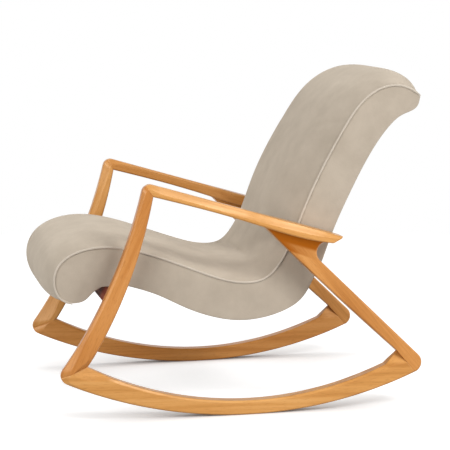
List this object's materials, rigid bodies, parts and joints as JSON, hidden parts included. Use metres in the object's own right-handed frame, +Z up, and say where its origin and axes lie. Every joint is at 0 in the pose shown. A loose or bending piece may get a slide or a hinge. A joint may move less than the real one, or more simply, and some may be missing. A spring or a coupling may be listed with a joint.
{
  "type": "rocking chair",
  "caption": "Upholstered lounge rocking chair: one continuous curved seat and back slung between two sculpted hardwood side frames with curved front legs, sloping arms and long rockers.",
  "frame": {"origin": "on the floor plane, midway between the side frames, 5 mm behind the line where the soles touch the floor as drawn", "axes": "+Z up; the sitter faces -Y; +X is the sitter's left and the plane X = 0 is the plane of symmetry"},
  "size_m": [0.734, 1.0351, 0.9055],
  "materials": {
    "frame_wood": "satin oiled walnut-toned hardwood, honey brown",
    "rail_wood": "dark stained hardwood",
    "plywood": "bare birch plywood",
    "slat_wood": "planed softwood",
    "peg_wood": "bare beech",
    "zinc_steel": "bright zinc plate",
    "cover_fabric": "brushed flat-weave upholstery fabric, warm oatmeal",
    "foam": "cut polyurethane foam",
    "webbing_band": "elastic upholstery webbing"
  },
  "bodies": {
    "root": {"back_webbing": "webbing_band", "cross_rail_dowels": "peg_wood", "foam_core": "foam", "front_cross_rail": "rail_wood", "front_mount_slat": "slat_wood", "head_slat": "slat_wood", "hip_slat": "slat_wood", "left_arm": "frame_wood", "left_front_leg": "frame_wood", "left_rear_leg": "frame_wood", "left_rocker": "frame_wood", "left_side_panel": "cover_fabric", "left_welt": "cover_fabric", "lumbar_slat": "slat_wood", "mitre_tenons": "peg_wood", "nose_slat": "slat_wood", "rear_cross_rail": "rail_wood", "rear_leg_dowels": "peg_wood", "right_arm": "frame_wood", "right_front_leg": "frame_wood", "right_rear_leg": "frame_wood", "right_rocker": "frame_wood", "right_side_panel": "cover_fabric", "right_welt": "cover_fabric", "seat_bolts": "zinc_steel", "seat_side_rail_left": "plywood", "seat_side_rail_right": "plywood", "seat_washers": "zinc_steel", "seat_webbing": "webbing_band", "slat_screws": "zinc_steel", "tee_nuts": "zinc_steel", "top_cover": "cover_fabric", "underside_panel": "cover_fabric"}
  },
  "joints": []
}
